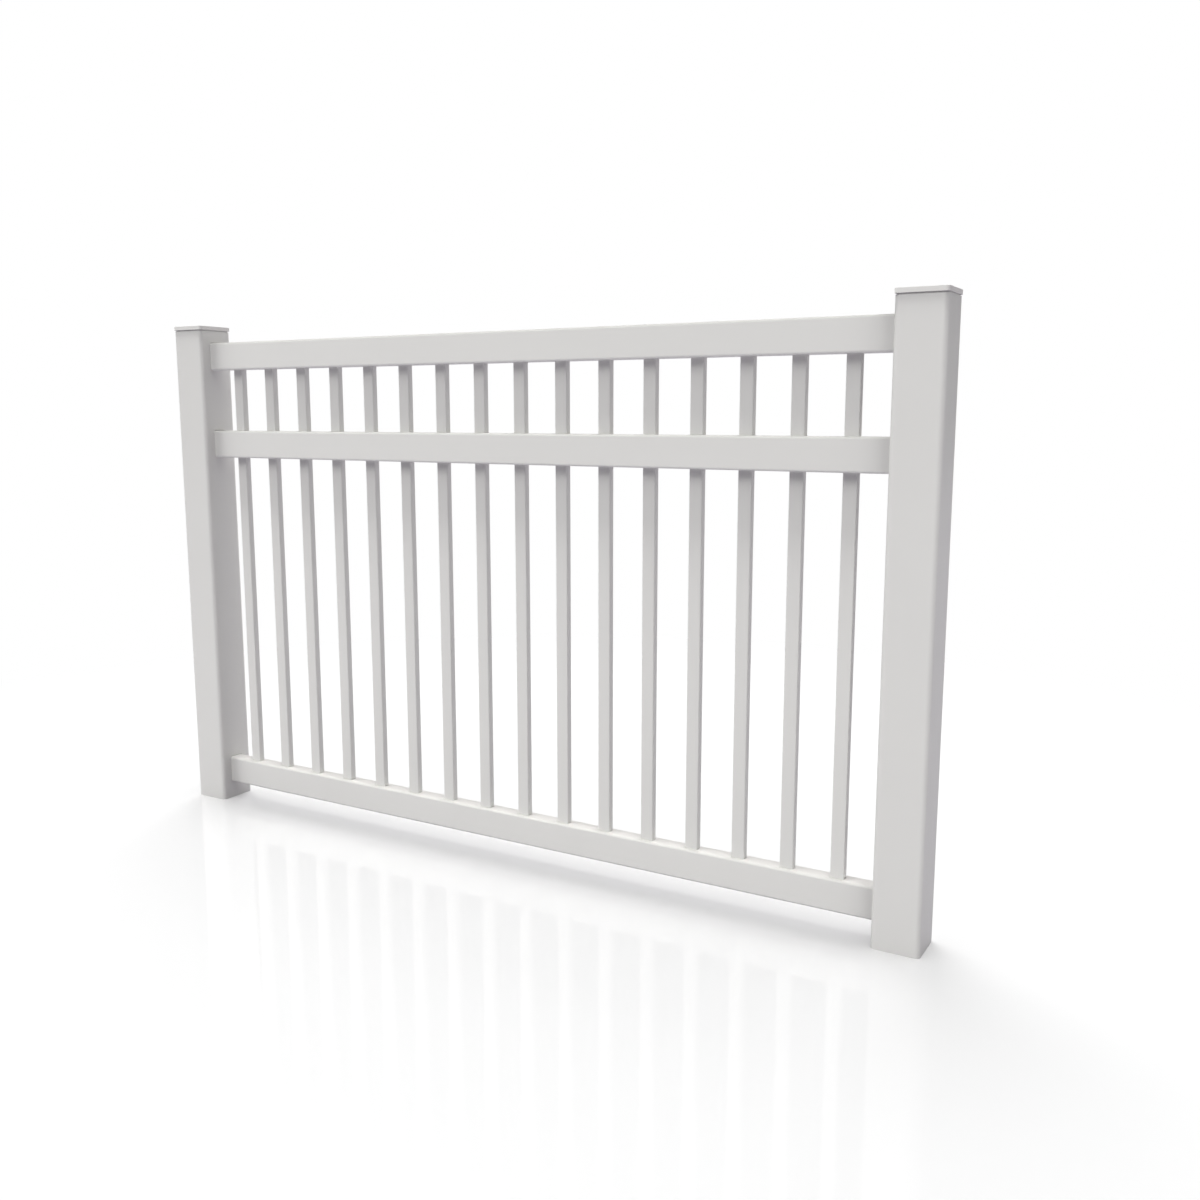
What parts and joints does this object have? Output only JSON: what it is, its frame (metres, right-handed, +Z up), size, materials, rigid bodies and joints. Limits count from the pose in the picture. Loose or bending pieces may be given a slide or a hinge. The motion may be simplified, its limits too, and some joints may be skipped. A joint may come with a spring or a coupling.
{
  "type": "fence panel",
  "caption": "Open picket fence panel of white hollow vinyl: square posts with flat caps, three rails through routed posts, and slim pickets threaded through the rails.",
  "frame": {"origin": "centre of the left post's foot, at ground level", "axes": "+X along the fence from the left post to the right post, +Y to the back, +Z up"},
  "size_m": [2.5684, 0.13, 1.627],
  "materials": {
    "white_vinyl": "smooth satin extruded vinyl, warm white"
  },
  "bodies": {
    "root": {"post_left": "white_vinyl", "post_right": "white_vinyl", "cap_left": "white_vinyl", "cap_right": "white_vinyl", "top_rail": "white_vinyl", "mid_rail": "white_vinyl", "bottom_rail": "white_vinyl", "picket_01": "white_vinyl", "picket_02": "white_vinyl", "picket_03": "white_vinyl", "picket_04": "white_vinyl", "picket_05": "white_vinyl", "picket_06": "white_vinyl", "picket_07": "white_vinyl", "picket_08": "white_vinyl", "picket_09": "white_vinyl", "picket_10": "white_vinyl", "picket_11": "white_vinyl", "picket_12": "white_vinyl", "picket_13": "white_vinyl", "picket_14": "white_vinyl", "picket_15": "white_vinyl", "picket_16": "white_vinyl"}
  },
  "joints": []
}
